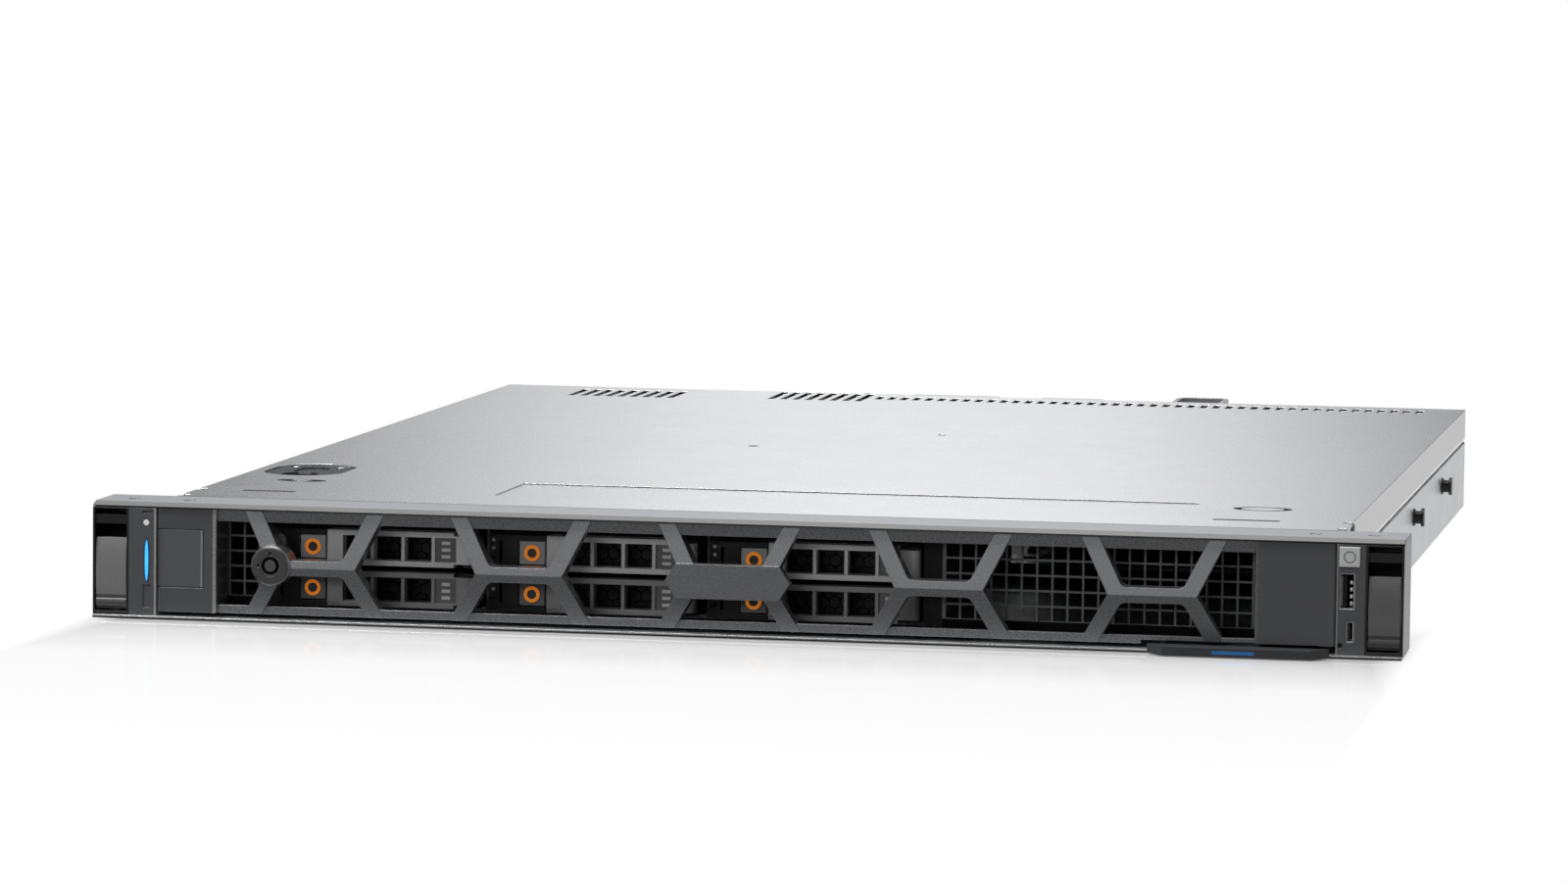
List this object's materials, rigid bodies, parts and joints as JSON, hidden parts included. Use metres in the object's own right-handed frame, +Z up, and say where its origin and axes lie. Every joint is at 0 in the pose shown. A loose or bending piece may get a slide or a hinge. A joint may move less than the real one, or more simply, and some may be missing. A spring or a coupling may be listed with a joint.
{
  "type": "1u rack server",
  "caption": "One-unit rack server: lattice bezel, hot-plug drives with swing handles, lift-off cover, fans, main board, riser and a pull-out power supply.",
  "frame": {"origin": "middle of the bounding box's floor, on the underside of the chassis", "axes": "+X to the right when facing the front, +Y from the bezel towards the rear panel, +Z up"},
  "size_m": [0.482, 0.6284, 0.043],
  "materials": {
    "cover_steel": "satin light grey coating",
    "pan_steel": "plain zinc-coated sheet",
    "hood_steel": "satin grey",
    "panel_black": "satin black",
    "bezel_grey": "satin grey with a fine grain",
    "latch_grey": "satin grey",
    "light_blue": "clear lens lit from behind",
    "button_grey": "satin light grey",
    "release_orange": "satin orange ring on black",
    "carrier_metal": "satin black",
    "handle_grey": "satin grey",
    "port_steel": "bright plated",
    "board_green": "solder mask",
    "component_black": "moulded",
    "sink_aluminium": "plain",
    "fan_black": "moulded",
    "shroud_black": "moulded",
    "cage_steel": "plain zinc-coated sheet",
    "stud_black": "black oxide",
    "screw_steel": "zinc plated",
    "tag_grey": "satin dark grey",
    "supply_steel": "zinc-coated case",
    "lead_black": "smooth jacket",
    "touch_blue": "satin"
  },
  "bodies": {
    "chassis": {"chassis_tray": "pan_steel", "rear_panel": "pan_steel", "front_hood": "hood_steel", "ear_housings": "panel_black", "status_panel": "panel_black", "status_light": "light_blue", "control_panel": "panel_black", "service_ports": "port_steel", "drive_cage": "cage_steel", "vent_grilles": "carrier_metal", "backplane": "board_green", "fan_frames": "fan_black", "motherboard": "board_green", "heatsink": "sink_aluminium", "memory_modules": "board_green", "board_parts": "component_black", "rear_ports": "port_steel", "riser_card": "board_green", "rear_blanks": "pan_steel", "psu_cage": "cage_steel", "power_board": "board_green", "rail_studs": "stud_black", "case_screws": "screw_steel", "cables": "lead_black"},
    "top_cover": {"top_cover": "cover_steel"},
    "cover_latch": {"cover_latch": "latch_grey"},
    "cover_lock": {"cover_lock": "screw_steel"},
    "air_shroud": {"air_shroud": "shroud_black"},
    "bezel": {"bezel": "bezel_grey"},
    "bezel_tab": {"bezel_tab": "bezel_grey"},
    "bezel_lock": {"bezel_lock": "screw_steel"},
    "rack_latch_left": {"rack_latch_left": "latch_grey"},
    "rack_latch_right": {"rack_latch_right": "latch_grey"},
    "power_button": {"power_button": "button_grey"},
    "info_tag": {"info_tag": "tag_grey"},
    "drive_1": {"drive_1": "carrier_metal"},
    "drive_handle_1": {"drive_handle_1": "handle_grey"},
    "drive_button_1": {"drive_button_1": "release_orange"},
    "drive_2": {"drive_2": "carrier_metal"},
    "drive_handle_2": {"drive_handle_2": "handle_grey"},
    "drive_button_2": {"drive_button_2": "release_orange"},
    "drive_3": {"drive_3": "carrier_metal"},
    "drive_handle_3": {"drive_handle_3": "handle_grey"},
    "drive_button_3": {"drive_button_3": "release_orange"},
    "drive_4": {"drive_4": "carrier_metal"},
    "drive_handle_4": {"drive_handle_4": "handle_grey"},
    "drive_button_4": {"drive_button_4": "release_orange"},
    "drive_5": {"drive_5": "carrier_metal"},
    "drive_handle_5": {"drive_handle_5": "handle_grey"},
    "drive_button_5": {"drive_button_5": "release_orange"},
    "drive_6": {"drive_6": "carrier_metal"},
    "drive_handle_6": {"drive_handle_6": "handle_grey"},
    "drive_button_6": {"drive_button_6": "release_orange"},
    "fan_rotor_1": {"fan_rotor_1": "fan_black"},
    "fan_rotor_2": {"fan_rotor_2": "fan_black"},
    "fan_rotor_3": {"fan_rotor_3": "fan_black"},
    "fan_rotor_4": {"fan_rotor_4": "fan_black"},
    "psu": {"psu": "supply_steel"},
    "psu_latch": {"psu_latch": "release_orange"},
    "slot_latch": {"slot_latch": "touch_blue"}
  },
  "joints": [
    {"name": "bezel_slide", "type": "slide", "parent": "chassis", "child": "bezel", "axis": [0, -1, 0], "range_m": [0, 0.25]},
    {"name": "drive_slide_1", "type": "slide", "parent": "chassis", "child": "drive_1", "axis": [0, -1, 0], "range_m": [0, 0.12]},
    {"name": "handle_hinge_1", "type": "hinge", "parent": "drive_1", "child": "drive_handle_1", "pos_m": [-0.1048, -0.28155, 0.0265], "axis": [0, 0, 1], "range_deg": [0, 36]},
    {"name": "button_slide_1", "type": "slide", "parent": "drive_1", "child": "drive_button_1", "axis": [0, 1, 0], "range_m": [0, 0.0015], "stiffness_N_per_m": 600, "springref_m": -0.0005},
    {"name": "drive_slide_2", "type": "slide", "parent": "chassis", "child": "drive_2", "axis": [0, -1, 0], "range_m": [0, 0.12]},
    {"name": "handle_hinge_2", "type": "hinge", "parent": "drive_2", "child": "drive_handle_2", "pos_m": [-0.0221, -0.28155, 0.0265], "axis": [0, 0, 1], "range_deg": [0, 36]},
    {"name": "button_slide_2", "type": "slide", "parent": "drive_2", "child": "drive_button_2", "axis": [0, 1, 0], "range_m": [0, 0.0015], "stiffness_N_per_m": 600, "springref_m": -0.0005},
    {"name": "drive_slide_3", "type": "slide", "parent": "chassis", "child": "drive_3", "axis": [0, -1, 0], "range_m": [0, 0.12]},
    {"name": "handle_hinge_3", "type": "hinge", "parent": "drive_3", "child": "drive_handle_3", "pos_m": [0.0606, -0.28155, 0.0265], "axis": [0, 0, 1], "range_deg": [0, 36]},
    {"name": "button_slide_3", "type": "slide", "parent": "drive_3", "child": "drive_button_3", "axis": [0, 1, 0], "range_m": [0, 0.0015], "stiffness_N_per_m": 600, "springref_m": -0.0005},
    {"name": "drive_slide_4", "type": "slide", "parent": "chassis", "child": "drive_4", "axis": [0, -1, 0], "range_m": [0, 0.12]},
    {"name": "handle_hinge_4", "type": "hinge", "parent": "drive_4", "child": "drive_handle_4", "pos_m": [-0.1048, -0.28155, 0.0113], "axis": [0, 0, 1], "range_deg": [0, 36]},
    {"name": "button_slide_4", "type": "slide", "parent": "drive_4", "child": "drive_button_4", "axis": [0, 1, 0], "range_m": [0, 0.0015], "stiffness_N_per_m": 600, "springref_m": -0.0005},
    {"name": "drive_slide_5", "type": "slide", "parent": "chassis", "child": "drive_5", "axis": [0, -1, 0], "range_m": [0, 0.12]},
    {"name": "handle_hinge_5", "type": "hinge", "parent": "drive_5", "child": "drive_handle_5", "pos_m": [-0.0221, -0.28155, 0.0113], "axis": [0, 0, 1], "range_deg": [0, 36]},
    {"name": "button_slide_5", "type": "slide", "parent": "drive_5", "child": "drive_button_5", "axis": [0, 1, 0], "range_m": [0, 0.0015], "stiffness_N_per_m": 600, "springref_m": -0.0005},
    {"name": "drive_slide_6", "type": "slide", "parent": "chassis", "child": "drive_6", "axis": [0, -1, 0], "range_m": [0, 0.12]},
    {"name": "handle_hinge_6", "type": "hinge", "parent": "drive_6", "child": "drive_handle_6", "pos_m": [0.0606, -0.28155, 0.0113], "axis": [0, 0, 1], "range_deg": [0, 36]},
    {"name": "button_slide_6", "type": "slide", "parent": "drive_6", "child": "drive_button_6", "axis": [0, 1, 0], "range_m": [0, 0.0015], "stiffness_N_per_m": 600, "springref_m": -0.0005},
    {"name": "tab_slide", "type": "slide", "parent": "bezel", "child": "bezel_tab", "axis": [0, 1, 0], "range_m": [0, 0.002], "stiffness_N_per_m": 500, "springref_m": -0.0005},
    {"name": "lock_turn", "type": "hinge", "parent": "bezel", "child": "bezel_lock", "pos_m": [-0.17345, -0.29575, 0.021], "axis": [0, 1, 0], "range_deg": [0, 90]},
    {"name": "rack_latch_left_hinge", "type": "hinge", "parent": "chassis", "child": "rack_latch_left", "pos_m": [-0.234, -0.30215, 0.0056], "axis": [1, 0, 0], "range_deg": [0, 25], "stiffness_Nm_per_rad": 0.05, "springref_deg": -5.73},
    {"name": "rack_latch_right_hinge", "type": "hinge", "parent": "chassis", "child": "rack_latch_right", "pos_m": [0.234, -0.30215, 0.0056], "axis": [1, 0, 0], "range_deg": [0, 25], "stiffness_Nm_per_rad": 0.05, "springref_deg": -5.73},
    {"name": "power_press", "type": "slide", "parent": "chassis", "child": "power_button", "axis": [0, 1, 0], "range_m": [0, 0.001], "stiffness_N_per_m": 500, "springref_m": -0.0005},
    {"name": "tag_slide", "type": "slide", "parent": "chassis", "child": "info_tag", "axis": [0, -1, 0], "range_m": [0, 0.055]},
    {"name": "cover_lift", "type": "slide", "parent": "chassis", "child": "top_cover", "axis": [0, 0, 1], "range_m": [0, 0.2]},
    {"name": "shroud_lift", "type": "slide", "parent": "chassis", "child": "air_shroud", "axis": [0, 0, 1], "range_m": [0, 0.101]},
    {"name": "cover_latch_hinge", "type": "hinge", "parent": "top_cover", "child": "cover_latch", "pos_m": [-0.1968, -0.14375, 0.0413], "axis": [-1, 0, 0], "range_deg": [0, 80]},
    {"name": "cover_lock_turn", "type": "hinge", "parent": "top_cover", "child": "cover_lock", "pos_m": [-0.1885, -0.20275, 0.0428], "axis": [0, 0, 1], "range_deg": [0, 90]},
    {"name": "fan_spin_1", "type": "hinge", "parent": "chassis", "child": "fan_rotor_1", "pos_m": [-0.165, -0.11075, 0.0212], "axis": [0, 1, 0], "continuous": true},
    {"name": "fan_spin_2", "type": "hinge", "parent": "chassis", "child": "fan_rotor_2", "pos_m": [-0.11, -0.11075, 0.0212], "axis": [0, 1, 0], "continuous": true},
    {"name": "fan_spin_3", "type": "hinge", "parent": "chassis", "child": "fan_rotor_3", "pos_m": [-0.055, -0.11075, 0.0212], "axis": [0, 1, 0], "continuous": true},
    {"name": "fan_spin_4", "type": "hinge", "parent": "chassis", "child": "fan_rotor_4", "pos_m": [0, -0.11075, 0.0212], "axis": [0, 1, 0], "continuous": true},
    {"name": "psu_slide", "type": "slide", "parent": "chassis", "child": "psu", "axis": [0, 1, 0], "range_m": [0, 0.19]},
    {"name": "psu_latch_slide", "type": "slide", "parent": "psu", "child": "psu_latch", "axis": [-1, 0, 0], "range_m": [0, 0.0015], "stiffness_N_per_m": 400, "springref_m": -0.0005},
    {"name": "slot_latch_hinge", "type": "hinge", "parent": "chassis", "child": "slot_latch", "pos_m": [-0.0386, 0.28485, 0.0387], "axis": [0, 0, -1], "range_deg": [0, 90]}
  ],
  "couplings": [
    {"joint": "drive_slide_1", "follows": "bezel_slide", "ratio": 0.46},
    {"joint": "handle_hinge_1", "follows": "bezel_slide", "rad_per_m": 2.4435},
    {"joint": "drive_slide_2", "follows": "bezel_slide", "ratio": 0.46},
    {"joint": "handle_hinge_2", "follows": "bezel_slide", "rad_per_m": 2.4435},
    {"joint": "drive_slide_3", "follows": "bezel_slide", "ratio": 0.46},
    {"joint": "handle_hinge_3", "follows": "bezel_slide", "rad_per_m": 2.4435},
    {"joint": "drive_slide_4", "follows": "bezel_slide", "ratio": 0.46},
    {"joint": "handle_hinge_4", "follows": "bezel_slide", "rad_per_m": 2.4435},
    {"joint": "drive_slide_5", "follows": "bezel_slide", "ratio": 0.46},
    {"joint": "handle_hinge_5", "follows": "bezel_slide", "rad_per_m": 2.4435},
    {"joint": "drive_slide_6", "follows": "bezel_slide", "ratio": 0.46},
    {"joint": "handle_hinge_6", "follows": "bezel_slide", "rad_per_m": 2.4435},
    {"joint": "shroud_lift", "follows": "cover_lift", "ratio": 0.5}
  ]
}
